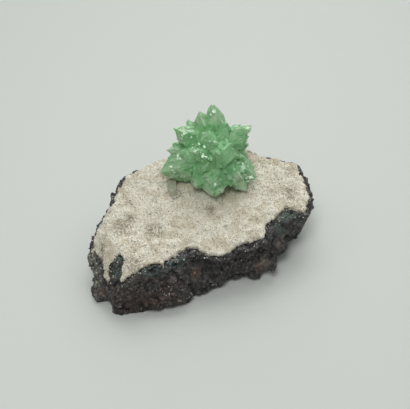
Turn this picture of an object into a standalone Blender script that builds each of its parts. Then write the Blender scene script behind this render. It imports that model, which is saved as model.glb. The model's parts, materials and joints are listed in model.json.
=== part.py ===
"""Green apophyllite cluster on a white druse crust, over a broken piece of dark basalt.

The basalt is a lofted block with broken faces. The crust is a thin sheet that follows the
top of the block. The cluster is a burst of square crystals with pointed ends, grown together
and seated on the crust. Lengths are in millimetres until they are handed to Blender.
The specimen is laid out as seen from its front: +X to the right, +Y away, +Z up.
"""

import math
import random

import bmesh
import bpy
from mathutils import Euler, Matrix, Vector, noise

MM = 0.001

# Top of the specimen
TOP_HEIGHT = 28.0  # crust surface at the middle of the block
TOP_LEAN = 0.10  # rise of the crust for each millimetre away from the front
DROOP_WAY = (-0.86, -0.51)  # the crust bends down towards this end
DROOP_START = 46.0
DROOP_REACH = 20.0  # past this it stays level, outside the specimen
DROOP_RATE = 0.05
SWELL_HEIGHT = 0.9  # broad hummocks of the crust
SWELL_SPAN = 15.0
SWELL_LAYER = 3.0  # where the noise is cut through for the hummocks
LUMP_HEIGHT = 0.9  # lumps of small crystals
LUMP_SPAN = 4.2
LUMP_LAYER = 9.0
CRUST_THICKNESS = 2.0
BED_SHARE = 0.7  # how much of the hummocks the rock under the crust shares
SEAM = 0.3  # gap that keeps two pieces from sharing a face
SHEET_STEP = 3.15
SHEET_LENGTH = 126.0
SHEET_WIDTH = 102.0
SHEET_CENTRE = (0.0, -9.0)

# Cutting pieces reach from below the foot to above the tallest crystal
CUT_LOW = -5.0
CUT_HIGH = 75.0
FLOOR_CUT = (160.0, 140.0, 40.0)  # block that cuts the foot flat
MERGE = 0.001  # corners closer than this are one

# Hollows and rises of the crust: x, y, radius, height
CRUST_FORMS = (
    (-40.0, -19.0, 9.6, -1.3),
    (-24.0, -19.0, 11.2, -1.5),
    (2.0, -7.0, 12.8, -0.9),
    (-31.0, 12.0, 9.6, 1.2),
    (-17.0, -30.0, 12.8, 0.8),
    (20.0, -12.0, 14.4, 0.9),
    (38.0, 5.0, 9.6, -1.0),
    (22.5, 28.0, 4.2, 3.4),
    (-22.0, 23.0, 8.0, 1.2),
    (-14.0, 12.0, 9.6, -1.2),
)

# Basalt wall, one row for each corner, anticlockwise from the front left:
# rim x and y, waist x, y and height, foot x, y and height
WALL = (
    ((-46.5, -42.5), (-50.0, -42.0, 7.5), (-46.5, -40.5, -1.0)),
    ((-42.0, -46.0), (-43.5, -46.5, 7.0), (-40.0, -46.5, -1.0)),
    ((-35.0, -46.5), (-34.5, -48.0, 9.0), (-32.0, -47.0, -1.0)),
    ((-27.0, -42.5), (-25.0, -46.0, 10.0), (-21.0, -46.5, -1.0)),
    ((-20.5, -40.0), (-18.0, -43.5, 11.0), (-17.0, -44.0, -1.0)),
    ((-14.0, -37.0), (-11.5, -40.0, 13.0), (-9.0, -42.0, -1.0)),
    ((-7.5, -33.5), (-5.0, -35.5, 14.0), (-3.5, -36.0, -1.0)),
    ((-3.0, -33.0), (-1.0, -33.0, 15.0), (1.5, -31.0, -1.0)),
    ((2.0, -35.5), (3.0, -32.5, 15.0), (5.0, -31.5, -1.0)),
    ((9.5, -36.0), (9.0, -31.0, 14.0), (10.0, -28.5, 0.5)),
    ((16.5, -30.5), (16.0, -28.0, 14.0), (15.5, -27.5, 1.0)),
    ((23.0, -28.5), (23.0, -26.0, 14.0), (23.0, -27.0, 1.0)),
    ((29.5, -25.0), (29.0, -23.0, 14.0), (30.0, -26.0, 2.0)),
    ((32.5, -17.5), (34.0, -19.0, 13.0), (34.5, -23.0, 2.5)),
    ((38.0, -12.0), (39.5, -15.0, 13.5), (34.0, -18.0, 1.0)),
    ((42.0, -9.0), (43.5, -10.5, 16.0), (36.0, -11.0, -1.0)),
    ((49.0, -10.0), (49.0, -6.5, 18.0), (41.0, -3.5, -1.0)),
    ((53.3, 1.0), (51.0, 3.0, 15.0), (45.0, 4.0, -1.0)),
    ((51.5, 8.0), (50.0, 10.0, 13.0), (45.0, 12.0, -1.0)),
    ((49.3, 17.0), (48.5, 18.5, 13.0), (44.0, 19.0, -1.0)),
    ((47.0, 25.0), (47.5, 26.0, 14.0), (42.0, 24.0, -1.0)),
    ((37.0, 28.0), (38.0, 30.0, 13.0), (36.0, 27.0, -1.0)),
    ((29.0, 29.0), (29.0, 31.5, 12.0), (27.0, 29.0, -1.0)),
    ((22.0, 32.5), (20.0, 33.0, 11.0), (18.0, 29.5, -1.0)),
    ((8.0, 33.0), (6.0, 33.5, 12.0), (6.0, 28.0, -1.0)),
    ((-7.0, 31.5), (-8.0, 31.0, 14.0), (-6.0, 26.0, -1.0)),
    ((-20.5, 27.5), (-21.0, 27.5, 13.0), (-18.0, 22.0, -1.0)),
    ((-32.5, 21.0), (-34.0, 20.0, 12.0), (-30.0, 15.0, -1.0)),
    ((-40.7, 16.5), (-41.5, 14.0, 13.0), (-36.0, 9.0, -1.0)),
    ((-43.5, 8.0), (-44.0, 4.0, 13.0), (-38.5, 1.0, -1.0)),
    ((-46.0, -2.0), (-47.5, -6.0, 12.0), (-42.0, -8.0, -1.0)),
    ((-51.5, -11.0), (-50.5, -15.0, 11.0), (-44.0, -18.0, -1.0)),
    ((-56.0, -22.0), (-53.5, -25.0, 10.0), (-46.0, -27.0, -1.0)),
    ((-57.0, -28.0), (-53.5, -33.0, 9.0), (-47.5, -34.0, -1.0)),
)

RIM_EXTRA = 6.0  # the block is built this far past the bed, then cut to it

# Ledges and steps where the rock broke: centre, size, tilt about X, Y and Z in degrees
LEDGES = (
    ((-49.5, -38.5, 5.0), (9.0, 8.5, 9.5), (8, -14, 24)),
    ((-33.0, -44.0, 4.0), (20.0, 10.0, 11.0), (-10, 4, -3)),
    ((-16.0, -43.0, 6.0), (17.0, 8.0, 10.0), (12, -6, 17)),
    ((1.5, -33.5, 4.5), (14.0, 8.0, 8.0), (-8, 5, 20)),
    ((24.0, -23.5, 5.5), (21.0, 10.5, 6.5), (-5, -6, 7)),
    ((37.5, -16.0, 11.0), (8.0, 6.5, 6.5), (14, 10, 38)),
    ((42.5, -1.0, 9.0), (9.0, 12.0, 8.0), (6, 12, 8)),
    ((44.0, 18.0, 6.0), (9.0, 16.0, 11.0), (-4, 8, -10)),
    ((14.0, 29.0, 5.0), (24.0, 8.0, 11.0), (9, 3, -6)),
    ((-24.0, 21.5, 7.0), (20.0, 9.0, 10.0), (7, -5, 28)),
    ((-44.0, -14.0, 6.0), (8.0, 18.0, 10.0), (-3, -9, -14)),
)

# Edge of the white crust, anticlockwise from the front left corner: x, y
CRUST_EDGE = (
    (-45.0, -43.0), (-41.5, -44.5), (-36.5, -45.0), (-32.5, -44.0), (-26.5, -40.5),
    (-20.5, -38.5), (-14.0, -35.0), (-8.0, -31.0), (-3.5, -30.0), (1.0, -34.0),
    (8.5, -34.5), (13.0, -31.0), (17.5, -28.0), (22.0, -27.0), (28.0, -23.5),
    (30.0, -16.0), (35.5, -11.0), (39.0, -5.5), (43.5, -7.5), (48.0, -9.0),
    (52.0, 1.5), (50.3, 7.5), (48.3, 16.0), (46.2, 23.8), (36.5, 27.2),
    (28.5, 28.2), (22.0, 31.5), (8.0, 32.0), (-7.0, 30.5), (-20.0, 26.5),
    (-32.0, 20.0), (-39.5, 15.5), (-42.0, 8.0), (-44.5, -2.0), (-50.0, -11.0),
    (-54.5, -20.5), (-54.0, -25.0), (-50.5, -29.0), (-48.5, -33.5), (-47.8, -38.5),
)
EDGE_CUTS = 4
EDGE_JAG = 1.0
EDGE_JAG_SPAN = 2.3

# Bare patch near the front left corner, where basalt shows through the crust
PATCH_CENTRE = (-41.0, -38.2)
PATCH_RADII = (3.2, 5.4)
PATCH_TURN = math.radians(-10)
PATCH_CORNERS = 14
PATCH_JAG = 0.3  # share of the radius by which the corners go in and out
PATCH_JAG_RATE = 1.7

# Surface of the basalt
BASALT_VOXEL = 1.7
BASALT_FACES = 3150
CHIP_DEPTH = 1.7
CHIP_SLOPE = 0.55
CHIP_SPAN = 9.0
CHIP_DEPTH_RATE = 3.1  # spreads the chips over the noise, so that each has its own depth
CHIP_TILT_RATE = 5.3  # the same for their tilts
GRAIN_DEPTH = 0.6
GRAIN_SPAN = 3.4
WAY_SHIFTS = (Vector((0.0, 0.0, 0.0)), Vector((31.4, 0.0, 0.0)), Vector((0.0, 47.2, 0.0)))

# Apophyllite: a square prism with a four-faced point, whose faces lean at this angle
POINT_LEAN = math.radians(58.5)
BURST_CENTRE = Vector((4.6, 18.9, 39.2))
BURST_CORE = 14.0
CRYSTAL_START = 8.0
# Main crystals: end from the burst's centre, width across the prism, turn in degrees, and
# how much of the point is missing, which leaves a flat end
MAIN_CRYSTALS = (
    ((-0.4, 9.5, 24.5), 10.5, 20, 0.0),
    ((-7.2, 7.5, 21.4), 9.6, 50, 0.6),
    ((17.0, 4.0, 15.6), 11.5, 8, 0.0),
    ((-19.2, 3.0, 15.6), 8.4, 40, 0.0),
    ((-12.9, 7.0, 16.5), 5.0, 25, 0.0),
    ((-27.2, -7.6, -5.0), 15.0, 35, 0.0),
    ((0.2, -21.6, -6.2), 13.0, 15, 3.0),
    ((21.0, -10.5, -5.6), 12.0, 30, 0.0),
    ((5.6, 2.5, 18.8), 10.5, 65, 1.0),
    ((16.8, 3.0, 4.0), 11.5, 15, 0.0),
    ((6.6, -11.6, 11.0), 16.0, 62, 5.0),
    ((-8.5, -12.5, 12.8), 12.5, 70, 0.0),
    ((11.6, -16.2, -2.8), 14.0, 10, 4.0),
    ((-9.6, -17.6, -4.8), 13.0, 25, 1.5),
    ((-23.6, 0.0, 3.4), 7.4, 60, 0.0),
    ((-5.0, -5.0, 18.6), 10.5, 5, 1.2),
    ((-17.0, -8.0, 8.0), 11.0, 55, 0.0),
    ((6.4, 11.8, 10.6), 10.0, 35, 0.0),
    ((-8.0, 15.0, 10.0), 10.0, 12, 0.0),
    ((16.0, -17.0, -8.6), 6.5, 0, 0.0),
)
FILL_COUNT = 52
FILL_LENGTH = (16.5, 19.0)
FILL_WIDTH = (6.5, 9.0)
FILL_LOWEST = -0.45  # cosine of the lowest direction, measured from straight up
FILL_APART = math.radians(21)
FILL_SEED = 11

# Small grey crystal set in the crust in front of the cluster
GREY_TIP = Vector((-15.6, -1.0, 28.4))
GREY_FOOT = Vector((-16.4, 11.5, 28.0))
GREY_WIDTH = 4.4
GREY_TURN = math.radians(8)


def clear_scene():
    """Removes the objects of the startup scene."""
    for thing in list(bpy.data.objects):
        bpy.data.objects.remove(thing, do_unlink=True)


def new_collection(name):
    """A collection linked to the scene."""
    made = bpy.data.collections.new(name)
    bpy.context.scene.collection.children.link(made)
    return made


def new_material(name, colour, roughness, transmission=0.0):
    """A Principled material; no piece here is metal."""
    made = bpy.data.materials.new(name)
    made.use_nodes = True
    shader = made.node_tree.nodes["Principled BSDF"]
    shader.inputs["Base Color"].default_value = (*colour, 1.0)
    shader.inputs["Roughness"].default_value = roughness
    shader.inputs["Metallic"].default_value = 0.0
    shader.inputs["Transmission Weight"].default_value = transmission
    made.diffuse_color = (*colour, 1.0)
    return made


def add_object(name, shape, collection, material=None):
    """Turns a bmesh into an object, from millimetres to metres."""
    bmesh.ops.scale(shape, vec=(MM, MM, MM), verts=shape.verts)
    bmesh.ops.recalc_face_normals(shape, faces=shape.faces)
    mesh = bpy.data.meshes.new(name)
    shape.to_mesh(mesh)
    shape.free()
    made = bpy.data.objects.new(name, mesh)
    collection.objects.link(made)
    if material:
        mesh.materials.append(material)
    return made


def add_cutter(name, shape, collection):
    """A helper that shapes other pieces and isn't one itself."""
    made = add_object(name, shape, collection)
    made.hide_render = True
    made.display_type = "WIRE"
    return made


def add_boolean(piece, operation, other):
    """A live Boolean against one object or a collection of them."""
    made = piece.modifiers.new(f"{operation.lower()} {other.name}", "BOOLEAN")
    made.operation = operation
    made.solver = "EXACT"
    if isinstance(other, bpy.types.Collection):
        made.operand_type = "COLLECTION"
        made.collection = other
    else:
        made.object = other


def bake(piece):
    """Applies the modifiers of a piece, so that its mesh can be shaped further."""
    graph = bpy.context.evaluated_depsgraph_get()
    done = bpy.data.meshes.new_from_object(piece.evaluated_get(graph))
    piece.modifiers.clear()
    piece.data = done


def smooth_fall(distance, radius):
    """1 at the centre of a round form, easing to 0 at its radius."""
    share = min(1.0, distance / radius)
    return (1.0 - share * share) ** 2


def noise_way(point):
    """A smoothly varying vector: the noise read at three places far apart."""
    return Vector([noise.noise(point + shift) for shift in WAY_SHIFTS])


def ground(x, y):
    """Height of the crust's surface, without its lumps."""
    past = x * DROOP_WAY[0] + y * DROOP_WAY[1] - DROOP_START
    past = min(DROOP_REACH, max(0.0, past))
    return TOP_HEIGHT + TOP_LEAN * y - DROOP_RATE * past * past


def swell(x, y):
    """Broad hummocks, hollows and rises."""
    height = SWELL_HEIGHT * noise.noise(Vector((x, y, SWELL_LAYER)) / SWELL_SPAN)
    for cx, cy, radius, rise in CRUST_FORMS:
        height += rise * smooth_fall(math.hypot(x - cx, y - cy), radius)
    return height


def crust_top(x, y):
    """Height of the crust's lumpy surface."""
    lumps = LUMP_HEIGHT * noise.noise(Vector((x, y, LUMP_LAYER)) / LUMP_SPAN)
    return ground(x, y) + swell(x, y) + lumps


def bed(x, y):
    """Height of the seam between the basalt and the crust."""
    return ground(x, y) + BED_SHARE * swell(x, y) - CRUST_THICKNESS


def slab(lower, upper):
    """A closed sheet between two heights given as functions of x and y."""
    shape = bmesh.new()
    columns = round(SHEET_LENGTH / SHEET_STEP)
    rows = round(SHEET_WIDTH / SHEET_STEP)
    stretch = Matrix.Diagonal((SHEET_LENGTH, SHEET_WIDTH, 1.0, 1.0))
    place = Matrix.Translation((*SHEET_CENTRE, 0.0)) @ stretch
    bmesh.ops.create_grid(shape, x_segments=columns, y_segments=rows, size=0.5, matrix=place)
    bmesh.ops.triangulate(shape, faces=shape.faces)
    bottom = list(shape.verts)
    grown = bmesh.ops.extrude_face_region(shape, geom=shape.faces[:], use_keep_orig=True)
    top = [part for part in grown["geom"] if isinstance(part, bmesh.types.BMVert)]
    for vert in bottom:
        vert.co.z = lower(vert.co.x, vert.co.y)
    for vert in top:
        vert.co.z = upper(vert.co.x, vert.co.y)
    return shape


def add_ring(shape, points):
    """A closed loop of edges through points."""
    verts = [shape.verts.new(point) for point in points]
    return [shape.edges.new((a, b)) for a, b in zip(verts, verts[1:] + verts[:1])]


def basalt_block():
    """The rough block: foot, waist and rim loops, carried up past the crust, and ledges."""
    shape = bmesh.new()
    foot = add_ring(shape, [corner[2] for corner in WALL])
    waist = add_ring(shape, [corner[1] for corner in WALL])
    rim = add_ring(shape, [(x, y, bed(x, y)) for (x, y), _, _ in WALL])
    above = add_ring(shape, [(x, y, bed(x, y) + RIM_EXTRA) for (x, y), _, _ in WALL])
    for lower, upper in ((foot, waist), (waist, rim), (rim, above)):
        bmesh.ops.bridge_loops(shape, edges=lower + upper)
    bmesh.ops.contextual_create(shape, geom=foot)
    bmesh.ops.contextual_create(shape, geom=above)
    bmesh.ops.triangulate(shape, faces=[f for f in shape.faces if len(f.verts) > 4])
    bmesh.ops.recalc_face_normals(shape, faces=shape.faces)
    for centre, size, tilt in LEDGES:
        turn = Euler([math.radians(angle) for angle in tilt]).to_matrix().to_4x4()
        place = Matrix.Translation(centre) @ turn @ Matrix.Diagonal((*size, 1.0))
        bmesh.ops.create_cube(shape, size=1.0, matrix=place)
    return shape


def chip(point):
    """How far a broken face stands proud at a point: flat tilted chips, and grain."""
    seat = noise.voronoi(point / CHIP_SPAN)[1][0]
    depth = noise.noise(seat * CHIP_DEPTH_RATE) * CHIP_DEPTH
    tilt = noise_way(seat * CHIP_TILT_RATE) * CHIP_SLOPE
    flat = depth + tilt.dot(point - seat * CHIP_SPAN)
    return flat + GRAIN_DEPTH * noise.noise(point / GRAIN_SPAN)


def break_faces(piece):
    """Moves the skin of the basalt in and out along its normals."""
    moved = [vert.co + vert.normal * chip(vert.co / MM) * MM for vert in piece.data.vertices]
    for vert, place in zip(piece.data.vertices, moved):
        vert.co = place


def even_skin(piece):
    """Joins what overlaps into one even skin."""
    remesh = piece.modifiers.new("even skin", "REMESH")
    remesh.mode = "VOXEL"
    remesh.voxel_size = BASALT_VOXEL * MM
    bake(piece)


def make_basalt(collection, cutters, material):
    """The dark matrix: the rough block with chipped sides, cut flat below and to the bed above."""
    piece = add_object("basalt_matrix", basalt_block(), collection, material)
    even_skin(piece)
    break_faces(piece)
    even_skin(piece)
    thin = piece.modifiers.new("broken facets", "DECIMATE")
    triangles = sum(len(face.vertices) - 2 for face in piece.data.polygons)
    thin.ratio = BASALT_FACES / triangles
    bake(piece)
    above = slab(lambda x, y: bed(x, y) - SEAM / 2, lambda x, y: CUT_HIGH)
    add_boolean(piece, "DIFFERENCE", add_cutter("above_the_bed", above, cutters))
    below = bmesh.new()
    place = Matrix.Translation((0.0, 0.0, -FLOOR_CUT[2] / 2))
    place @= Matrix.Diagonal((*FLOOR_CUT, 1.0))
    bmesh.ops.create_cube(below, size=1.0, matrix=place)
    add_boolean(piece, "DIFFERENCE", add_cutter("below_the_floor", below, cutters))
    return piece


def crust_outline():
    """A tall prism on the crust's ragged edge."""
    shape = bmesh.new()
    edges = add_ring(shape, [(x, y, CUT_LOW) for x, y in CRUST_EDGE])
    bmesh.ops.subdivide_edges(shape, edges=edges, cuts=EDGE_CUTS)
    for vert in shape.verts:
        push = noise_way(vert.co / EDGE_JAG_SPAN) * EDGE_JAG
        vert.co.x += push.x
        vert.co.y += push.y
    face = bmesh.ops.contextual_create(shape, geom=shape.edges[:])["faces"]
    grown = bmesh.ops.extrude_face_region(shape, geom=face, use_keep_orig=True)
    top = [part for part in grown["geom"] if isinstance(part, bmesh.types.BMVert)]
    bmesh.ops.translate(shape, vec=(0.0, 0.0, CUT_HIGH - CUT_LOW), verts=top)
    return shape


def bare_patch():
    """An uneven upright plug that opens the crust near the front left corner."""
    shape = bmesh.new()
    bmesh.ops.create_cone(
        shape, cap_ends=True, segments=PATCH_CORNERS,
        radius1=1.0, radius2=1.0, depth=CUT_HIGH - CUT_LOW,
    )
    for vert in shape.verts:
        corner = Vector((vert.co.x, vert.co.y, 0.0))
        reach = 1.0 + PATCH_JAG * noise.noise(corner * PATCH_JAG_RATE)
        vert.co.x *= reach * PATCH_RADII[0]
        vert.co.y *= reach * PATCH_RADII[1]
    place = Matrix.Translation((*PATCH_CENTRE, (CUT_LOW + CUT_HIGH) / 2))
    place @= Matrix.Rotation(PATCH_TURN, 4, "Z")
    bmesh.ops.transform(shape, matrix=place, verts=shape.verts)
    return shape


def make_crust(collection, cutters, material):
    """The white druse: a lumpy sheet on the bed, inside its ragged edge."""
    sheet = slab(lambda x, y: bed(x, y) + SEAM / 2, crust_top)
    piece = add_object("druse_crust", sheet, collection, material)
    add_boolean(piece, "INTERSECT", add_cutter("crust_outline", crust_outline(), cutters))
    add_boolean(piece, "DIFFERENCE", add_cutter("bare_patch", bare_patch(), cutters))
    return piece


def crystal(width, start, length, blunt=0.0):
    """A square prism along +Z from start to length, with a four-faced point.

    The faces of the point stand over the edges of the prism, which makes them kite-shaped.
    Where some of the point is missing, the crystal ends flat.
    """
    shape = bmesh.new()
    place = Matrix.Translation((0.0, 0.0, (start + length) / 2))
    place @= Matrix.Diagonal((width, width, length - start, 1.0))
    bmesh.ops.create_cube(shape, size=1.0, matrix=place)
    tip = Vector((0.0, 0.0, length + blunt))
    for quarter in range(4):
        turn = math.radians(45 + 90 * quarter)
        out = math.sin(POINT_LEAN)
        normal = Vector((math.cos(turn) * out, math.sin(turn) * out, math.cos(POINT_LEAN)))
        cut = bmesh.ops.bisect_plane(
            shape, geom=shape.verts[:] + shape.edges[:] + shape.faces[:],
            plane_co=tip, plane_no=normal, clear_outer=True,
        )
        rim = [part for part in cut["geom_cut"] if isinstance(part, bmesh.types.BMEdge)]
        bmesh.ops.contextual_create(shape, geom=rim)
    bmesh.ops.remove_doubles(shape, verts=shape.verts, dist=MERGE)
    return shape


def set_along(shape, foot, way, turn):
    """Places a crystal made along +Z: its foot, the way that it points, its turn about that."""
    place = Matrix.Translation(foot) @ way.to_track_quat("Z", "Y").to_matrix().to_4x4()
    place @= Matrix.Rotation(turn, 4, "Z")
    bmesh.ops.transform(shape, matrix=place, verts=shape.verts)


def fill_crystals():
    """Shorter crystals between the main ones, spread evenly over the burst."""
    spread = random.Random(FILL_SEED)
    taken = [Vector(row[0]).normalized() for row in MAIN_CRYSTALS]
    golden = math.pi * (3.0 - math.sqrt(5.0))
    for index in range(FILL_COUNT):
        up = 1.0 - (1.0 - FILL_LOWEST) * (index + 0.5) / FILL_COUNT
        out = math.sqrt(1.0 - up * up)
        way = Vector((math.cos(index * golden) * out, math.sin(index * golden) * out, up))
        length = spread.uniform(*FILL_LENGTH)
        width = spread.uniform(*FILL_WIDTH)
        turn = spread.uniform(0.0, math.tau / 4)
        if all(way.angle(other) > FILL_APART for other in taken):
            taken.append(way)
            yield way, length, width, turn, 0.0


def make_cluster(collection, cutters, material):
    """The green burst: crystals from one centre, grown together, seated on the crust."""
    core = bmesh.new()
    place = Matrix.Translation(BURST_CENTRE)
    bmesh.ops.create_icosphere(core, subdivisions=2, radius=BURST_CORE, matrix=place)
    piece = add_object("apophyllite_cluster", core, collection, material)
    crystals = new_collection("crystals")
    wanted = [
        (Vector(end).normalized(), Vector(end).length, width, math.radians(turn), blunt)
        for end, width, turn, blunt in MAIN_CRYSTALS
    ]
    for number, (way, length, width, turn, blunt) in enumerate(wanted + list(fill_crystals())):
        shape = crystal(width, CRYSTAL_START, length, blunt)
        set_along(shape, BURST_CENTRE, way, turn)
        add_cutter(f"crystal_{number:02d}", shape, crystals)
    add_boolean(piece, "UNION", crystals)
    seat = slab(lambda x, y: CUT_LOW, lambda x, y: crust_top(x, y) + SEAM)
    add_boolean(piece, "DIFFERENCE", add_cutter("cluster_seat", seat, cutters))
    return piece


def make_grey_crystal(collection, cutters, crust, material):
    """The small grey crystal in front of the cluster, let into a pocket of the crust."""
    way = GREY_TIP - GREY_FOOT
    shape = crystal(GREY_WIDTH, 0.0, way.length)
    set_along(shape, GREY_FOOT, way, GREY_TURN)
    piece = add_object("grey_crystal", shape, collection, material)
    pocket = crystal(GREY_WIDTH + 2 * SEAM, -SEAM, way.length + SEAM)
    set_along(pocket, GREY_FOOT, way, GREY_TURN)
    add_boolean(crust, "DIFFERENCE", add_cutter("grey_crystal_pocket", pocket, cutters))
    under = slab(lambda x, y: CUT_LOW, lambda x, y: bed(x, y) + SEAM / 2)
    add_boolean(piece, "DIFFERENCE", add_cutter("under_the_crust", under, cutters))
    return piece


def centre_on_foot(pieces):
    """Moves the meshes so that the origin is at the middle of the specimen's foot."""
    for piece in pieces:
        bake(piece)
    corners = [vert.co for piece in pieces for vert in piece.data.vertices]
    low = Vector([min(corner[axis] for corner in corners) for axis in range(3)])
    high = Vector([max(corner[axis] for corner in corners) for axis in range(3)])
    middle = Vector(((low.x + high.x) / 2, (low.y + high.y) / 2, low.z))
    print("moved by", tuple(round(-value / MM, 2) for value in middle), "mm")
    for piece in pieces:
        piece.data.transform(Matrix.Translation(-middle))


def main():
    clear_scene()
    specimen = new_collection("apophyllite_on_matrix")
    cutters = new_collection("cutters")
    dark = new_material("basalt", (0.032, 0.026, 0.026), 0.85)
    white = new_material("druse", (0.62, 0.58, 0.48), 0.8)
    green = new_material("green apophyllite", (0.18, 0.50, 0.22), 0.12, transmission=0.8)
    grey = new_material("grey crystal", (0.42, 0.45, 0.38), 0.2, transmission=0.5)
    crust = make_crust(specimen, cutters, white)
    pieces = [
        make_basalt(specimen, cutters, dark),
        crust,
        make_cluster(specimen, cutters, green),
        make_grey_crystal(specimen, cutters, crust, grey),
    ]
    centre_on_foot(pieces)


main()
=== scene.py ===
import json
import math
import random

import bmesh
import bpy
from mathutils import Matrix, Quaternion, Vector, noise
from mathutils.bvhtree import BVHTree

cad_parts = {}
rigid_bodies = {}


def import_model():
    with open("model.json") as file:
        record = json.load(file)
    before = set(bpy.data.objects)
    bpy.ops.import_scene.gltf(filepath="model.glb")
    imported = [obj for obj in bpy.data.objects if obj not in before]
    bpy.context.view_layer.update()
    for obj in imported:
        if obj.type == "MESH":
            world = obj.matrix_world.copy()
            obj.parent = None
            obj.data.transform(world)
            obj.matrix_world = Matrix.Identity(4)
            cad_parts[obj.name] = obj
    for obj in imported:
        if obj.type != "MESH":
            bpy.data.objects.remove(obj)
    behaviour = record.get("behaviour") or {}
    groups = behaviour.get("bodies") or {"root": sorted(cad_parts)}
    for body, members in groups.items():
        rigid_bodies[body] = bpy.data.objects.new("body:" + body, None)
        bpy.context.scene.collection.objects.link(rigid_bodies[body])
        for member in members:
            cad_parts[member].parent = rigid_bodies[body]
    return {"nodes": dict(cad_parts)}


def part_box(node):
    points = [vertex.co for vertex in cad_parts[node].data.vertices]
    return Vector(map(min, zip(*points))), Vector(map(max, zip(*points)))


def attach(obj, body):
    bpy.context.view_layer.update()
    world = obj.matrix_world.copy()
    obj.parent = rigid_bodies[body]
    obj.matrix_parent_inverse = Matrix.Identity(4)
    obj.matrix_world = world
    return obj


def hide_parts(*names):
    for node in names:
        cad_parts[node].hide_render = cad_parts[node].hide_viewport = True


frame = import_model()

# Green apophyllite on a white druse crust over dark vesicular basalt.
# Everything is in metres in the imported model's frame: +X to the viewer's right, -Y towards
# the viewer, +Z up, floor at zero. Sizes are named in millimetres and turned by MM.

MM = 0.001

# The layout is named as part.py names it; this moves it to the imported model's origin
LAYOUT_SHIFT = Vector((1.32, 7.83, 0.0))

# Camera of the photograph, in the layout's millimetres
CAMERA_AT = Vector((0.0, -319.7, 343.2))
CAMERA_AIM = Vector((0.0, -1.5, 25.0))
CAMERA_ANGLE = math.radians(25.2)

# Lamps aimed at the specimen: name, place and side in metres, watts, and spread in degrees
FRONT_LAMP = Vector((-0.1, -0.3, 0.75))  # many of the smallest crystals mirror it
LAMPS = (
    ("high window", (0.42, 0.42, 0.68), 0.7, 1.78, 180),
    ("low window", (0.0, 0.7, 0.35), 0.7, 1.65, 180),
    ("beam", (0.0, 0.4, 0.7), 0.6, 0.38, 60),
    ("front lamp", FRONT_LAMP, 0.28, 2.2, 180),
    ("left lamp", (-0.5, 0.1, 0.6), 0.1, 0.2, 180),
)

# Spacing of the fine meshes of the rock and the crust
BASALT_GRAIN = 0.62
DRUSE_GRAIN = 0.55

# How many small crystals and pits are made, or are tried where many are dropped
DRUSE_CRYSTALS = 13500
EDGE_PITS = 650
CRUMB_TRIES = 40000
GREY_TRIES = 700
SMALL_TRIES = 1000
SPARKLE_TRIES = 9000

# Shares of the tries that are kept at most: crumbs on flecks, on olive stone and anywhere
# else on the rock, and sparkles
FLECK_SHARE = 0.3
OLIVE_SHARE = 0.2
STRAY_SHARE = 0.002
SPARKLE_SHARE = 0.35

# Spray of crystals: its centre, how far a point's faces are tilted from a flat end, and the
# distance from the centre at which the clearer crystals begin
BURST_CENTRE = Vector((4.6, 18.9, 39.2))
POINT_LEAN = math.radians(58.5)
CLEAR_REACH = 19.0
MILKY, CLEAR, HAZY = 0, 1, 2  # places of its materials

# Large crystals, as in the solid: end from the burst's centre, width across the prism, turn
# in degrees, and how much of the point is missing
MAIN_CRYSTALS = (
    ((-0.4, 9.5, 24.5), 10.5, 20, 0.0),
    ((-7.2, 7.5, 21.4), 9.6, 50, 0.6),
    ((17.0, 4.0, 15.6), 11.5, 8, 0.0),
    ((-19.2, 3.0, 15.6), 8.4, 40, 0.0),
    ((-27.2, -7.6, -5.0), 15.0, 35, 0.0),
    ((0.2, -21.6, -6.2), 13.0, 15, 3.0),
    ((21.0, -10.5, -5.6), 12.0, 30, 0.0),
    ((5.6, 2.5, 18.8), 10.5, 65, 1.0),
    ((-8.5, -12.5, 12.8), 12.5, 70, 0.0),
    ((11.6, -16.2, -2.8), 14.0, 10, 4.0),
    ((-9.6, -17.6, -4.8), 13.0, 25, 1.5),
    ((-5.0, -5.0, 18.6), 10.5, 5, 1.2),
    ((-17.0, -8.0, 8.0), 11.0, 55, 0.0),
)
STEPS = 6  # parallel growths on each large crystal
# Large crystals whose ends are bundles: row above, from 0, and how many narrow crystals
BUNDLES = ((5, 30), (9, 24), (10, 24), (6, 16))
NARROW = (1.1, 2.3)  # least and greatest width of a narrow crystal

# Where small crystals stand thick and shaken on the spray, and where few stand: x, y, z and
# radius
THICK_SPOT = (-4.0, 7.0, 50.0, 15.0)
BARE_SPOT = (14.0, 7.0, 46.0, 13.0)

# Hazy part of the spray, on its front right: its way from the burst's centre and half angle
HAZE_WAY = Vector((4.7, -6.6, 4.6))
HAZE_ANGLE = math.radians(38)


def to_model(point):
    """From the layout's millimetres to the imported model's metres."""
    return (Vector(point) + LAYOUT_SHIFT) * MM


def to_layout(point):
    """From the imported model's metres to the layout's millimetres."""
    return point / MM - LAYOUT_SHIFT


def linear(colour):
    """An sRGB hex colour as the linear RGBA that shaders take."""
    channels = [int(colour[place:place + 2], 16) / 255 for place in (1, 3, 5)]
    flat = [c / 12.92 if c <= 0.04045 else ((c + 0.055) / 1.055) ** 2.4 for c in channels]
    return (*flat, 1.0)


def add_node(tree, kind, inputs=None, **settings):
    """Adds a shader node. Settings are its own properties, inputs its values or links."""
    made = tree.nodes.new("ShaderNode" + kind)
    for name, value in settings.items():
        setattr(made, name, value)
    for name, value in (inputs or {}).items():
        if isinstance(value, bpy.types.NodeSocket):
            tree.links.new(value, made.inputs[name])
        else:
            made.inputs[name].default_value = value
    return made


def add_ramp(tree, factor, stops):
    """A colour ramp: each stop is its position and hex colour."""
    made = add_node(tree, "ValToRGB", {"Fac": factor})
    elements = made.color_ramp.elements
    elements[0].position, elements[1].position = stops[0][0], stops[-1][0]
    elements[0].color, elements[-1].color = linear(stops[0][1]), linear(stops[-1][1])
    for position, colour in stops[1:-1]:
        elements.new(position).color = linear(colour)
    return made.outputs["Color"]


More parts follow.
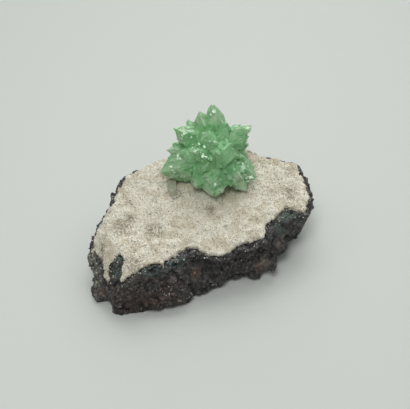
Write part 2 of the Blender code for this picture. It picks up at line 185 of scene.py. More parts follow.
def add_tint(tree, mask, under, colour):
    """Lays a colour over another where a stored mask says so."""
    shown = add_node(tree, "Attribute", attribute_name=mask)
    made = add_node(tree, "Mix", {
        "Factor": shown.outputs["Fac"], "A": under, "B": linear(colour)}, data_type="RGBA")
    return made.outputs[2]


def new_material(name):
    """An empty material with its output node."""
    made = bpy.data.materials.new(name)
    made.use_nodes = True
    made.node_tree.nodes.clear()
    return made, made.node_tree, made.node_tree.nodes.new("ShaderNodeOutputMaterial")


def limit(value):
    """Keeps a number between 0 and 1."""
    return max(0.0, min(1.0, value))


def smooth_fall(distance, radius):
    """1 at the centre of a round form, easing to 0 at its radius."""
    share = min(1.0, distance / radius)
    return (1.0 - share * share) ** 2


def nearness(point, spots):
    """The strongest of several round spots, each x, y, z and radius, at a layout point."""
    return max(smooth_fall((point - Vector(spot[:3])).length, spot[3]) for spot in spots)


def patches(point, span, gain, level):
    """Uneven patches, 0 to 1, of about a span across."""
    return limit(gain * noise.noise(point / span) + level)


def noise_way(point):
    """A smoothly varying vector: the noise read at three places far apart."""
    shifts = (Vector((0.0, 0.0, 0.0)), Vector((31.4, 0.0, 0.0)), Vector((0.0, 47.2, 0.0)))
    return Vector([noise.noise(point + shift) for shift in shifts])


# Meshes

def add_piece(name, shape):
    """Turns a bmesh into an object at the origin."""
    mesh = bpy.data.meshes.new(name)
    shape.to_mesh(mesh)
    shape.free()
    made = bpy.data.objects.new(name, mesh)
    bpy.context.scene.collection.objects.link(made)
    return made


def merged_copy(node, name):
    """A copy of a CAD solid with its loose triangles joined."""
    shape = bmesh.new()
    shape.from_mesh(frame["nodes"][node].data)
    bmesh.ops.remove_doubles(shape, verts=shape.verts, dist=0.002 * MM)
    return add_piece(name, shape)


def bake(piece):
    """Applies a piece's modifiers."""
    graph = bpy.context.evaluated_depsgraph_get()
    done = bpy.data.meshes.new_from_object(piece.evaluated_get(graph))
    piece.modifiers.clear()
    piece.data = done


def even_skin(piece, grain):
    """Gives a piece an even, fine mesh."""
    remesh = piece.modifiers.new("even skin", "REMESH")
    remesh.mode = "VOXEL"
    remesh.voxel_size = grain * MM
    remesh.adaptivity = 0.0
    bake(piece)


def set_attribute(piece, name, value_at):
    """Stores a number for each vertex, found from its layout point."""
    data = piece.data.attributes.new(name, "FLOAT", "POINT").data
    values = [value_at(to_layout(vert.co)) for vert in piece.data.vertices]
    data.foreach_set("value", values)


def relieve(piece, relief):
    """Moves each vertex along its normal by relief, in millimetres, at its layout point."""
    moves = []
    for vert in piece.data.vertices:
        moves.append(vert.co + vert.normal * relief(to_layout(vert.co)) * MM)
    for vert, place in zip(piece.data.vertices, moves):
        vert.co = place
    piece.data.update()


def finish_piece(piece, material, node=None):
    """Gives a piece its material and its body, and hides the solid that it stands for."""
    piece.data.materials.clear()
    piece.data.materials.append(material)
    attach(piece, "root")
    if node:
        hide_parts(node)


def crystal(width, start, length, blunt=0.0):
    """A square prism along +Z, in millimetres, with a four-faced point or a flat end."""
    shape = bmesh.new()
    place = Matrix.Translation((0.0, 0.0, (start + length) / 2))
    place @= Matrix.Diagonal((width, width, length - start, 1.0))
    bmesh.ops.create_cube(shape, size=1.0, matrix=place)
    tip = Vector((0.0, 0.0, length + blunt))
    for quarter in range(4):
        turn = math.radians(45 + 90 * quarter)
        out = math.sin(POINT_LEAN)
        normal = Vector((math.cos(turn) * out, math.sin(turn) * out, math.cos(POINT_LEAN)))
        cut = bmesh.ops.bisect_plane(
            shape, geom=shape.verts[:] + shape.edges[:] + shape.faces[:],
            plane_co=tip, plane_no=normal, clear_outer=True,
        )
        rim = [part for part in cut["geom_cut"] if isinstance(part, bmesh.types.BMEdge)]
        bmesh.ops.contextual_create(shape, geom=rim)
    bmesh.ops.remove_doubles(shape, verts=shape.verts, dist=0.001)
    bmesh.ops.recalc_face_normals(shape, faces=shape.faces)
    return shape


def along(foot, way, turn):
    """The matrix that stands something made along +Z on a foot, along way, turned about it."""
    place = Matrix.Translation(foot) @ way.to_track_quat("Z", "Y").to_matrix().to_4x4()
    return place @ Matrix.Rotation(turn, 4, "Z")


def template(shape):
    """A mesh to be sown, from a bmesh in millimetres."""
    bmesh.ops.scale(shape, vec=(MM, MM, MM), verts=shape.verts)
    mesh = bpy.data.meshes.new("template")
    shape.to_mesh(mesh)
    shape.free()
    return mesh


def sow(name, templates, places):
    """One mesh of many small copies, each a template's number and its matrix."""
    shape = bmesh.new()
    for number, place in places:
        copy = templates[number].copy()
        copy.transform(place)
        shape.from_mesh(copy)
        bpy.data.meshes.remove(copy)
    return add_piece(name, shape)


def surface_points(piece, count, wanted, draw):
    """Random points and normals on a piece's faces, kept where wanted says so."""
    faces = [face for face in piece.data.polygons if wanted(to_layout(face.center), face.normal)]
    weights = [face.area for face in faces]
    verts = piece.data.vertices
    for face in draw.choices(faces, weights=weights, k=count):
        a, b, c = (verts[index].co for index in face.vertices[:3])
        u, v = draw.random(), draw.random()
        if u + v > 1.0:
            u, v = 1.0 - u, 1.0 - v
        yield a + (b - a) * u + (c - a) * v, face.normal.copy()


def shaken(way, draw, amount):
    """A direction with a random lean."""
    return (way + Vector([draw.gauss(0.0, amount) for _ in range(3)])).normalized()


# Basalt

def chip(point, span, depth, slope):
    """How far a broken face stands proud: flat tilted chips, one to each cell of a pattern."""
    seat = noise.voronoi(point / span)[1][0]
    tilt = noise_way(seat * 5.3) * slope
    return depth * noise.noise(seat * 3.1) + tilt.dot(point - seat * span)


def basalt_relief(point):
    """Broken chips, gas pores and grain of the basalt's skin; none where it stands."""
    # Chips 4.6 and 1.9 mm across, pores 2.3 mm across and 1.1 mm deep, grain of 1.1 mm
    chips = chip(point, 4.6, 1.1, 0.5) + chip(point + Vector((31.0, 7.0, 3.0)), 1.9, 0.5, 0.5)
    pore = noise.voronoi(point / 3.6 + Vector((7.0, 3.0, 5.0)))[0][0]
    pits = -1.1 * smooth_fall(pore, 0.32)
    grain = 0.4 * noise.noise(point / 1.1)
    foot = limit(point.z / 1.2)
    return (chips + pits + grain) * foot


# Where the rock is coloured, each x, y, z and radius
CELADONITE_SPOTS = (
    (-27.5, -42.0, 21.0, 4.0), (-24.5, -41.5, 20.5, 4.2), (-20.9, -40.0, 20.5, 4.4),
    (-16.3, -38.0, 21.0, 4.4), (-11.7, -36.0, 21.5, 3.8), (-51.0, -12.0, 24.0, 5.0),
    (-48.0, -4.0, 25.0, 4.0), (26.0, -25.0, 18.0, 4.0), (36.0, -14.5, 20.0, 4.0),
)
MOSSY_SPOTS = (
    (-42.2, -37.6, 17.6, 6.5), (-41.0, -33.0, 20.5, 4.5), (37.7, -10.1, 25.1, 5.5),
    (41.3, -7.6, 25.3, 4.5), (35.1, -16.1, 23.7, 4.0), (46.0, -8.0, 24.0, 4.0),
)
OLIVE_SPOTS = (
    (-54.3, -27.6, 12.0, 8.0), (-52.1, -32.7, 10.6, 7.0), (-51.5, -36.7, 7.9, 5.5),
    (-52.0, -26.0, 18.0, 6.0),
)
TAN_SPOTS = (
    (34.3, -19.6, 16.8, 4.5), (27.6, -25.6, 9.8, 5.5), (38.9, -14.6, 17.1, 4.0),
    (-50.4, -41.9, 4.5, 4.0), (46.0, -6.0, 20.0, 5.0),
)
RUST_SPOTS = (
    (-4.3, -36.0, 13.0, 4.5), (-2.8, -35.1, 13.4, 3.5), (26.7, -27.1, 7.0, 4.5),
    (-49.3, -41.2, 6.7, 3.5), (50.0, 6.0, 12.0, 7.0), (-44.0, 4.0, 8.0, 8.0),
)
WARM_SPOTS = ((-26.0, -46.0, 9.0, 26.0), (30.0, 30.0, 10.0, 24.0))
DARK_SPOTS = ((-3.7, -34.0, 21.0, 6.0), (2.0, -33.0, 19.0, 6.0), (-28.0, -47.0, 4.0, 8.0))
FLECK_SPOTS = (
    (-28.8, -48.6, 2.4, 3.0), (-23.3, -46.0, 3.5, 2.5), (-23.3, -45.6, 12.0, 2.2),
    (-18.2, -46.0, 10.3, 3.4), (-8.1, -43.7, 4.5, 4.0), (4.8, -35.3, 4.0, 2.6),
    (-11.8, -46.4, 6.4, 3.0), (-16.0, -44.6, 13.0, 2.4),
)


def make_basalt_material():
    """Basalt, broken: a dull near-black stone with grey mineral grains and coloured films."""
    made, tree, output = new_material("broken vesicular basalt")
    place = add_node(tree, "TexCoord").outputs["Object"]
    # Mineral blotches about 2 mm across, broken up by finer grains
    blotch = add_node(tree, "TexNoise", {
        "Vector": place, "Scale": 520.0, "Detail": 6.0, "Roughness": 0.8})
    stone = add_ramp(tree, blotch.outputs["Fac"], (
        (0.37, "#100e0f"), (0.46, "#2d2a29"), (0.54, "#4f4b48"), (0.62, "#7b736a"),
        (0.72, "#b8ad9c")))
    colour = add_tint(tree, "rust", stone, "#7d5c43")
    colour = add_tint(tree, "tan", colour, "#86796a")
    colour = add_tint(tree, "olive", colour, "#8f927c")
    colour = add_tint(tree, "celadonite", colour, "#4f6a66")
    colour = add_tint(tree, "mossy", colour, "#5c7466")
    hue = add_node(tree, "Attribute", attribute_name="warm")
    warm = add_node(tree, "Mix", {
        "Factor": hue.outputs["Fac"], "A": linear("#f4f7ff"), "B": linear("#f2cfc4")},
        data_type="RGBA")
    warmed = add_node(tree, "Mix", {
        "Factor": 1.0, "A": colour, "B": warm.outputs[2]},
        data_type="RGBA", blend_type="MULTIPLY")
    dark = add_node(tree, "Attribute", attribute_name="dark")
    depth = add_node(tree, "MapRange", {
        "Value": dark.outputs["Fac"], "To Min": 1.0, "To Max": 0.45})
    shaded = add_node(tree, "Mix", {
        "Factor": 1.0, "A": warmed.outputs[2], "B": depth.outputs["Result"]},
        data_type="RGBA", blend_type="MULTIPLY")
    grain = add_node(tree, "TexNoise", {
        "Vector": place, "Scale": 1300.0, "Detail": 4.0, "Roughness": 0.7})
    bump = add_node(tree, "Bump", {
        "Height": grain.outputs["Fac"], "Strength": 0.9, "Distance": 0.4 * MM})
    shine = add_node(tree, "MapRange", {
        "Value": blotch.outputs["Fac"], "To Min": 0.35, "To Max": 0.8})
    shader = add_node(tree, "BsdfPrincipled", {
        "Base Color": shaded.outputs[2], "Roughness": shine.outputs["Result"],
        "Metallic": 0.0, "IOR": 1.55, "Normal": bump.outputs["Normal"]})
    tree.links.new(shader.outputs["BSDF"], output.inputs["Surface"])
    return made


def make_basalt():
    """The matrix: the CAD block's own form with a broken, pitted skin."""
    piece = merged_copy("basalt_matrix", "basalt_skin")
    even_skin(piece, BASALT_GRAIN)
    relieve(piece, basalt_relief)
    masks = {
        "celadonite": lambda at: nearness(at, CELADONITE_SPOTS) * patches(at, 1.8, 2.0, 0.8),
        "mossy": lambda at: nearness(at, MOSSY_SPOTS) * patches(at, 1.0, 3.5, 0.6),
        "olive": lambda at: nearness(at, OLIVE_SPOTS) * patches(at, 0.9, 4.0, 0.4),
        "tan": lambda at: nearness(at, TAN_SPOTS) * patches(at, 1.6, 1.8, 0.6),
        "rust": lambda at: nearness(at, RUST_SPOTS) * patches(at, 1.4, 1.8, 0.4),
        "warm": lambda at: nearness(at, WARM_SPOTS) * patches(at, 9.0, 1.2, 0.9),
        "dark": lambda at: nearness(at, DARK_SPOTS) * patches(at, 5.0, 1.0, 0.9),
    }
    for name, value_at in masks.items():
        set_attribute(piece, name, value_at)
    finish_piece(piece, make_basalt_material(), "basalt_matrix")
    return piece


# Druse crust

# Grey-brown hollows of the crust, its dirty corner, and painted shadow on the crust in front of
# the spray: x, y, z and radius
DIRT_AND_SHADE_SPOTS = (
    (-40.7, -17.1, 24.7, 6.0), (-23.9, -19.4, 24.3, 7.0), (-32.4, -38.6, 24.5, 6.5),
    (2.4, -6.6, 26.3, 5.0), (41.8, 3.2, 27.6, 6.0), (-49.3, -31.4, 17.0, 5.0),
    (-48.9, -26.7, 21.0, 4.0), (-38.0, -16.0, 25.0, 4.5), (-36.0, -12.0, 26.0, 4.0),
    (-16.0, 12.0, 29.0, 6.0), (-14.0, 2.0, 28.0, 4.5),
)
PINK_SPOTS = ((21.8, 25.9, 31.5, 6.0),)
# Where the crust closes up against the grey crystal: x, y, z and radius
GREY_LOW, GREY_HIGH = (Vector(corner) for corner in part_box("grey_crystal"))
GREY_POCKET = (*to_layout((GREY_LOW + GREY_HIGH) / 2), 6.0)
# Heights on the grey crystal: crumbs start at the first, and lie thick up to the second
GREY_FOOT = 26.5
GREY_WAIST = 28.6


def druse_relief(point):
    """Rounded lumps and knobs of the crust."""
    # Lumps 3.6 mm and knobs 1.6 mm across, on broader swells of 6 and 2.6 mm
    dome = noise.voronoi(point / 3.6)[0][0]
    knob = noise.voronoi(point / 1.6)[0][0]
    broad = 0.8 * noise.noise(point / 6.0) + 0.3 * noise.noise(point / 2.6)
    shut = 0.9 * nearness(point, (GREY_POCKET,))
    return broad + 0.8 * (0.45 - dome) + 0.4 * (0.45 - knob) + shut


def dirt_and_shade(point):
    """How grey-brown the crust is at a layout point: grey-brown hollows and a dirty corner, with
    painted shade in the gaps between lumps and a painted shadow in front of the spray.
    """
    # Painted shade in the low gaps between the lumps
    gap = limit(2.2 * (noise.voronoi(point / 3.6)[0][0] - 0.5))
    broad = 0.12 * patches(point, 5.0, 1.6, 0.1) + 0.85 * nearness(point, DIRT_AND_SHADE_SPOTS)
    return limit(0.25 * gap + broad) * patches(point, 0.9, 3.4, 0.55)


def make_druse_material(name, level):
    """Druse of small zeolite and quartz crystals, grown: sugary, cream-white, faintly glinting."""
    made, tree, output = new_material(name)
    place = add_node(tree, "TexCoord").outputs["Object"]
    # Grains and the shadowed gaps between them, about 1 mm apart
    grains = add_node(tree, "TexNoise", {
        "Vector": place, "Scale": 950.0, "Detail": 3.0, "Roughness": 0.75})
    shade = add_ramp(tree, grains.outputs["Fac"], (
        (0.3, "#bdb7a5"), (0.42, "#dfdaca"), (0.6, level)))
    # Creamier and greyer areas 4 to 8 mm across
    areas = add_node(tree, "TexNoise", {"Vector": place, "Scale": 170.0, "Detail": 2.0})
    tone = add_ramp(tree, areas.outputs["Fac"], ((0.38, "#ece8e0"), (0.56, "#ffffff")))
    toned = add_node(tree, "Mix", {
        "Factor": 1.0, "A": shade, "B": tone}, data_type="RGBA", blend_type="MULTIPLY")
    # Painted shade in the gaps between grains, under 0.5 mm across, deeper where dirt and shade
    # are painted
    gaps = add_node(tree, "TexNoise", {"Vector": place, "Scale": 1700.0, "Detail": 1.0})
    dirt_and_shade_node = add_node(tree, "Attribute", attribute_name="dirt_and_shade")
    more = add_node(tree, "Math", {
        0: dirt_and_shade_node.outputs["Fac"], 1: -0.09, 2: gaps.outputs["Fac"]}, operation="MULTIPLY_ADD")
    # Painted shade: the gaps turn near-black brown
    painted_gap_shade = add_ramp(tree, more.outputs["Value"], ((0.31, "#4e4738"), (0.36, "#ffffff")))
    with_gap_shade = add_node(tree, "Mix", {
        "Factor": 0.9, "A": toned.outputs[2], "B": painted_gap_shade},
        data_type="RGBA", blend_type="MULTIPLY")
    # Grey-brown dirt, with painted shade between lumps and a painted shadow in front of the spray
    colour = add_tint(tree, "dirt_and_shade", with_gap_shade.outputs[2], "#857a66")
    colour = add_tint(tree, "pink", colour, "#dccabb")
    fine = add_node(tree, "TexNoise", {
        "Vector": place, "Scale": 2200.0, "Detail": 3.0, "Roughness": 0.7})
    bump = add_node(tree, "Bump", {
        "Height": fine.outputs["Fac"], "Strength": 0.5, "Distance": 0.2 * MM})
    shader = add_node(tree, "BsdfPrincipled", {
        "Base Color": colour, "Roughness": 0.5, "Metallic": 0.0, "IOR": 1.5,
        "Normal": bump.outputs["Normal"]})
    tree.links.new(shader.outputs["BSDF"], output.inputs["Surface"])
    return made


def druse_templates():
    """Small crystals of the druse: a four-sided point, a five-sided one and a blocky one."""
    points = []
    for sides in (4, 5):
        point = bmesh.new()
        bmesh.ops.create_cone(
            point, cap_ends=True, segments=sides, radius1=0.6, radius2=0.0, depth=1.2)
        points.append(template(point))
    return points + [template(crystal(0.8, -0.5, 0.6))]


def standing(point, way, draw, size, tall):
    """A random druse crystal's kind and the matrix that stands it on a point."""
    kind = draw.choices((0, 1, 2), weights=(5, 5, 2))[0]
    place = along(point, way, draw.uniform(0.0, math.tau))
    return kind, place @ Matrix.Diagonal((size, size, tall, 1.0))


def make_druse(basalt):
    """The crust: the CAD sheet's form, lumpy, with small crystals standing all over it."""
    piece = merged_copy("druse_crust", "druse_skin")
    draw = random.Random(5)
    fray(piece, draw)
    even_skin(piece, DRUSE_GRAIN)
    relieve(piece, druse_relief)
    templates = druse_templates()
    grains = sow("druse_crystals", templates, list(grain_places(piece, draw)))
    places = [*rock_crumbs(basalt, piece, draw), *grey_crumbs(draw)]
    crumbs = sow("druse_crumbs", templates, places)
    for part in (piece, grains, crumbs):
        # Grey-brown dirt together with painted shade, for the material
        set_attribute(part, "dirt_and_shade", dirt_and_shade)
        set_attribute(part, "pink", lambda at: 0.6 * nearness(at, PINK_SPOTS))
    material = make_druse_material("sugary white druse", "#e2ded0")
    finish_piece(piece, material, "druse_crust")
    finish_piece(grains, material)
    finish_piece(crumbs, make_druse_material("loose druse crumbs", "#f2f2ee"))


def fray(piece, draw):
    """Bites small pits out of the crust's upright edge, away from the grey crystal."""
    def on_edge(at, up):
        return abs(up.z) < 0.5 and nearness(at, (GREY_POCKET,)) == 0.0

    pits = bmesh.new()
    for point, normal in surface_points(piece, EDGE_PITS, on_edge, draw):
        size = draw.uniform(0.5, 2.1) * MM
        place = Matrix.Translation(point + shaken(normal, draw, 0.3) * size * 0.35)
        place @= Matrix.Diagonal((size, size, 3.0 * size, 1.0))
        bmesh.ops.create_icosphere(pits, subdivisions=1, radius=1.0, matrix=place)
    cutter = add_piece("pits", pits)
    cut = piece.modifiers.new("frayed edge", "BOOLEAN")
    cut.operation = "DIFFERENCE"
    cut.solver = "EXACT"
    cut.use_self = True
    cut.object = cutter
    bake(piece)
    bpy.data.objects.remove(cutter, do_unlink=True)


def grain_places(crust, draw):
    """Where the small crystals stand all over the crust, except on its underside."""
    for point, normal in surface_points(crust, DRUSE_CRYSTALS, lambda at, up: up.z > -0.2, draw):
        size = draw.uniform(0.5, 1.2)
        way = shaken(normal, draw, 0.4)
        yield standing(point, way, draw, size, size * draw.uniform(0.5, 0.9))


def rock_crumbs(basalt, crust, draw):
    """Crumbs of druse on the rock: thick along the crust's edge, as flecks, and a few strays."""
    edge = BVHTree.FromObject(crust, bpy.context.evaluated_depsgraph_get())
    for point, normal in surface_points(basalt, CRUMB_TRIES, lambda at, up: at.z > 1.5, draw):
        at = to_layout(point)
        gap = edge.find_nearest(point)[3] / MM
        wanted = math.exp(-gap / 0.8) if gap < 4.0 else 0.0
        wanted = max(wanted, FLECK_SHARE * nearness(at, FLECK_SPOTS))
        wanted = max(wanted, OLIVE_SHARE * nearness(at, OLIVE_SPOTS), STRAY_SHARE)
        if draw.random() < wanted:
            size = draw.uniform(0.25, 0.8)
            yield standing(point, shaken(normal, draw, 0.5), draw, size, 0.7 * size)


def grey_crumbs(draw):
    """Crumbs of druse on the grey crystal: thick on its foot, few above."""
    grey = frame["nodes"]["grey_crystal"]
    for point, normal in surface_points(grey, GREY_TRIES, lambda at, up: at.z > GREY_FOOT, draw):
        at = to_layout(point)
        low = at.z < GREY_WAIST
        if low or draw.random() < 0.12 + 0.3 * smooth_fall(at.z - GREY_WAIST, 1.2):
            size = draw.uniform(0.8, 1.5) if low else draw.uniform(0.4, 0.8)
            yield standing(point, shaken(normal, draw, 0.5), draw, size, 0.6 * size)


# Apophyllite

# Where the smallest crystals glitter on the spray: x, y, z and radius
SPARKLE_SPOTS = (
    (-2.4, 8.6, 51.7, 4.5), (-3.0, 6.5, 50.0, 3.5), (-2.0, 12.0, 52.9, 4.0),
    (0.5, 11.0, 51.0, 4.0), (0.5, 6.8, 46.9, 3.0), (-12.2, 13.4, 43.6, 3.0),
    (-6.8, 11.7, 48.3, 4.0), (-9.7, 17.1, 51.5, 3.5), (4.2, 11.9, 53.9, 2.5),
    (16.7, 9.9, 41.6, 3.5), (19.6, 7.5, 34.3, 3.5), (4.8, -1.8, 36.9, 2.0),
    (7.2, -2.5, 34.2, 2.5), (-16.8, 9.3, 38.0, 4.0), (4.2, 25.8, 61.9, 2.5),
    (2.9, 23.2, 59.4, 2.5),
)


def make_apophyllite_material(name, deep, pale, transmission, inside, rough=0.05):
    """Green apophyllite, grown: glassy faces over a milky inside with rays from its centre."""
    made, tree, output = new_material(name)
    place = add_node(tree, "TexCoord").outputs["Object"]
    out = add_node(tree, "Mapping", {"Vector": place, "Location": -to_model(BURST_CENTRE)})
    way = add_node(tree, "VectorMath", {0: out.outputs["Vector"]}, operation="NORMALIZE")
    # Rays of growth, under 2 mm across at the crystals' ends
    rays = add_node(tree, "TexNoise", {
        "Vector": way.outputs["Vector"], "Scale": 15.0, "Detail": 4.0, "Roughness": 0.65})
    # Milky clouds 3 to 6 mm across
    clouds = add_node(tree, "TexNoise", {"Vector": place, "Scale": 240.0, "Detail": 3.0})
    both = add_node(tree, "Mix", {
        "Factor": 0.5, "A": rays.outputs["Fac"], "B": clouds.outputs["Fac"]})
    tint = add_ramp(tree, both.outputs["Result"], ((0.38, deep), (0.62, pale)))
    bump = add_node(tree, "Bump", {
        "Height": rays.outputs["Fac"], "Strength": 0.1, "Distance": 0.3 * MM})
    shader = add_node(tree, "BsdfPrincipled", {
        "Base Color": tint, "Roughness": rough, "Metallic": 0.0, "IOR": 1.535,
        "Transmission Weight": transmission, "Subsurface Weight": inside,
        "Subsurface Radius": (1.0, 1.0, 1.0), "Subsurface Scale": 2.5 * MM,
        "Normal": bump.outputs["Normal"]})
    tree.links.new(shader.outputs["BSDF"], output.inputs["Surface"])
    veil = add_node(tree, "VolumeAbsorption", {"Color": linear("#b4dcb4"), "Density": 30.0})
    tree.links.new(veil.outputs["Volume"], output.inputs["Volume"])
    return made


def point_fall(x, y):
    """How far a crystal's point has sloped down at a place across its prism."""
    return (abs(x) + abs(y)) / math.sqrt(2.0) * math.tan(POINT_LEAN)


def growth_steps(draw):
    """Parallel growths on the large crystals: each a shape and its place, in millimetres."""
    for end, width, turn, blunt in MAIN_CRYSTALS:
        way = Vector(end).normalized()
        length = Vector(end).length
        place = along(BURST_CENTRE, way, math.radians(turn))
        for _ in range(STEPS):
            x, y = (draw.uniform(-0.36, 0.36) * width for _ in range(2))
            narrow = draw.uniform(0.22, 0.5) * width
            # It stands a little proud of the point's slope, but ends short of the point
            fall = point_fall(x, y)
            top = min(length, length + blunt - fall) + draw.uniform(0.35, 1.0)
            top = min(top, length - 0.2)
            start = max(6.0, top - 2.0 * narrow)
            yield crystal(narrow, start, top), place @ Matrix.Translation((x, y, 0.0))


def bundles(draw):
    """Narrow parallel crystals that make up the ends of some large ones."""
    for row, count in BUNDLES:
        end, width, turn, blunt = MAIN_CRYSTALS[row]
        length = Vector(end).length
        for _ in range(count):
            way = shaken(Vector(end).normalized(), draw, 0.05)
            place = along(BURST_CENTRE, way, math.radians(turn))
            x, y = (draw.uniform(-0.45, 0.45) * width for _ in range(2))
            fall = point_fall(x, y)
            top = min(length, length + blunt - fall + draw.uniform(-0.2, 1.6))
            narrow = draw.uniform(*NARROW)
            yield crystal(narrow, max(5.0, top - 6.0), top), place @ Matrix.Translation((x, y, 0))


def in_haze(point):
    """Whether a layout point lies on the spray's hazy part."""
    out = point - BURST_CENTRE
    return out.angle(HAZE_WAY) < HAZE_ANGLE and out.length < CLEAR_REACH


def small_crystals(base, draw):
    """Small crystals standing on the spray, thick on its front left: a shape and its place."""
    for point, normal in surface_points(base, SMALL_TRIES, lambda at, up: up.z > -0.3, draw):
        at = to_layout(point)
        out = (at - BURST_CENTRE).normalized()
        thick = nearness(at, (THICK_SPOT,))
        bare = nearness(at, (BARE_SPOT,))
        way = shaken(out + 0.35 * normal, draw, 0.12 + 0.5 * thick)
        width = draw.uniform(1.2, 3.2) * (1.0 - 0.5 * thick)
        if draw.random() < (0.3 + 0.7 * thick) * (1.0 - 0.85 * bare):
            place = along(at, way, draw.uniform(0.0, math.tau))
            yield crystal(width, -width, width * draw.uniform(0.25, 0.7)), place


def glinting(draw):
    """A turn that lays one face of a crystal's point so that it mirrors the front lamp."""
    spot = to_model(BURST_CENTRE)
    to_camera = (to_model(CAMERA_AT) - spot).normalized()
    mirror = shaken((to_camera + (FRONT_LAMP - spot).normalized()).normalized(), draw, 0.05)
    side = math.sin(POINT_LEAN) * math.sqrt(0.5)
    face = Vector((side, side, math.cos(POINT_LEAN)))
    return Quaternion(mirror, draw.uniform(0.0, math.tau)) @ face.rotation_difference(mirror)


def sparkle_places(spray, draw):
    """Where the smallest crystals stand on the spray, many of them with a face that glints."""
    for point, normal in surface_points(spray, SPARKLE_TRIES, lambda at, up: up.z > -0.5, draw):
        if draw.random() > SPARKLE_SHARE * nearness(to_layout(point), SPARKLE_SPOTS):
            continue
        turn = glinting(draw)
        size = draw.uniform(0.6, 1.6)
        # One that would lie nearly flat, and two in five of the others, is turned at random
        if (turn @ Vector((0.0, 0.0, 1.0))).dot(normal) < 0.2 or draw.random() < 0.4:
            turn = shaken(normal, draw, 0.6).to_track_quat("Z", "Y")
            size = draw.uniform(0.5, 1.3)
        place = Matrix.Translation(point) @ turn.to_matrix().to_4x4()
        yield draw.randrange(2), place @ Matrix.Diagonal((size, size, size, 1.0))


def grow_on(piece, grown):
    """Joins crystals to a piece as one mesh, each a shape and its place in the layout."""
    twigs = bpy.data.collections.new("small crystals")
    bpy.context.scene.collection.children.link(twigs)
    for shape, place in grown:
        bmesh.ops.transform(shape, matrix=place, verts=shape.verts)
        bmesh.ops.translate(shape, vec=LAYOUT_SHIFT, verts=shape.verts)
        bmesh.ops.scale(shape, vec=(MM, MM, MM), verts=shape.verts)
        twig = add_piece("twig", shape)
        bpy.context.scene.collection.objects.unlink(twig)
        twigs.objects.link(twig)
    join = piece.modifiers.new("grown together", "BOOLEAN")
    join.operation = "UNION"
    join.solver = "EXACT"
    join.operand_type = "COLLECTION"
    join.collection = twigs
    bake(piece)
    for twig in list(twigs.objects):
        bpy.data.objects.remove(twig, do_unlink=True)
    bpy.data.collections.remove(twigs)


def colour_spray(piece):
    """Milky crystals in the middle, clearer ones outside, hazy ones on the front right."""
    milky = make_apophyllite_material(
        "milky green apophyllite", "#84c789", "#c3f1bf", 0.38, 0.62)
    clear = make_apophyllite_material(
        "clear green apophyllite", "#98d998", "#dcf9d4", 0.42, 0.55)
    hazy = make_apophyllite_material(
        "hazy green apophyllite", "#88cb8e", "#b8e8b4", 0.35, 0.7, rough=0.2)
    finish_piece(piece, milky, "apophyllite_cluster")
    piece.data.materials.append(clear)
    piece.data.materials.append(hazy)
    centre = to_model(BURST_CENTRE)
    for face in piece.data.polygons:
        face.use_smooth = False
        outside = (face.center - centre).length > CLEAR_REACH * MM
        face.material_index = CLEAR if outside else MILKY
        if in_haze(to_layout(face.center)):
            face.material_index = HAZY


def make_spray():
    """The green spray: the CAD crystals with smaller ones grown on and between them."""
    piece = merged_copy("apophyllite_cluster", "apophyllite_spray")
    draw = random.Random(8)
    grow_on(piece, [*small_crystals(piece, draw), *growth_steps(draw), *bundles(draw)])
    colour_spray(piece)
    kinds = [template(crystal(1.0, -0.5, 0.7)), template(crystal(1.0, -0.5, 0.55, 0.3))]
    sparkles = sow("apophyllite_sparkles", kinds, list(sparkle_places(piece, draw)))
    bright = make_apophyllite_material(
        "pale green apophyllite", "#9ad89a", "#dcf8d6", 0.2, 0.0)
    finish_piece(sparkles, bright)


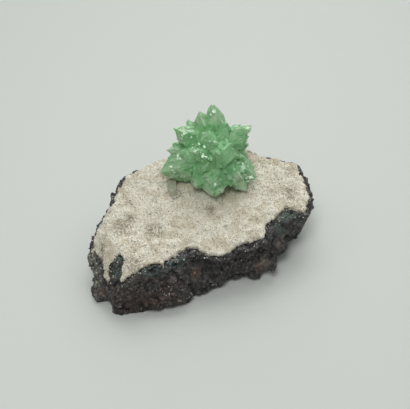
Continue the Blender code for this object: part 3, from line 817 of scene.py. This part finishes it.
def make_grey_crystal():
    """The small grey crystal keeps its CAD form; cloudy quartz, grown, pale and glassy."""
    made, tree, output = new_material("cloudy grey quartz")
    shader = add_node(tree, "BsdfPrincipled", {
        "Base Color": linear("#c3c6ae"), "Roughness": 0.12, "Metallic": 0.0, "IOR": 1.53,
        "Transmission Weight": 0.3, "Subsurface Weight": 0.5,
        "Subsurface Radius": (1.0, 1.0, 1.0), "Subsurface Scale": 2.0 * MM})
    tree.links.new(shader.outputs["BSDF"], output.inputs["Surface"])
    for slot in frame["nodes"]["grey_crystal"].material_slots:
        slot.material = made


# Studio

def make_floor():
    """A plain pale floor."""
    shape = bmesh.new()
    bmesh.ops.create_grid(shape, x_segments=1, y_segments=1, size=2.0)
    bmesh.ops.translate(shape, vec=(0.0, 0.0, -0.05 * MM), verts=shape.verts)
    floor = add_piece("floor", shape)
    made, tree, output = new_material("matt pale floor")
    shader = add_node(tree, "BsdfPrincipled", {
        "Base Color": linear("#ccd0cb"), "Roughness": 0.9, "Metallic": 0.0,
        "Specular IOR Level": 0.2})
    tree.links.new(shader.outputs["BSDF"], output.inputs["Surface"])
    floor.data.materials.append(made)


def make_light(name, place, size, power, spread):
    """A soft square light aimed at the specimen."""
    data = bpy.data.lights.new(name, "AREA")
    data.shape = "SQUARE"
    data.size = size
    data.energy = power
    data.spread = math.radians(spread)
    light = bpy.data.objects.new(name, data)
    light.location = place
    way = Vector((0.0, 0.0, 0.02)) - Vector(place)
    light.rotation_euler = way.to_track_quat("-Z", "Y").to_euler()
    bpy.context.scene.collection.objects.link(light)


def make_studio():
    """Soft window light from behind, smaller lamps in front and at the left, a pale room."""
    for lamp in LAMPS:
        make_light(*lamp)
    world = bpy.data.worlds.new("room")
    world.use_nodes = True
    room = world.node_tree.nodes["Background"]
    room.inputs["Color"].default_value = linear("#f4f7f4")
    room.inputs["Strength"].default_value = 0.25
    bpy.context.scene.world = world
    bpy.context.scene.view_settings.view_transform = "Standard"


def make_camera():
    """The camera stands and looks as in the photograph."""
    data = bpy.data.cameras.new("camera")
    data.angle = CAMERA_ANGLE
    data.clip_start = 0.01
    camera = bpy.data.objects.new("camera", data)
    camera.location = to_model(CAMERA_AT)
    way = to_model(CAMERA_AIM) - to_model(CAMERA_AT)
    camera.rotation_euler = way.to_track_quat("-Z", "Y").to_euler()
    bpy.context.scene.collection.objects.link(camera)
    bpy.context.scene.camera = camera


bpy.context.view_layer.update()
make_camera()
make_studio()
make_floor()
make_druse(make_basalt())
make_spray()
make_grey_crystal()
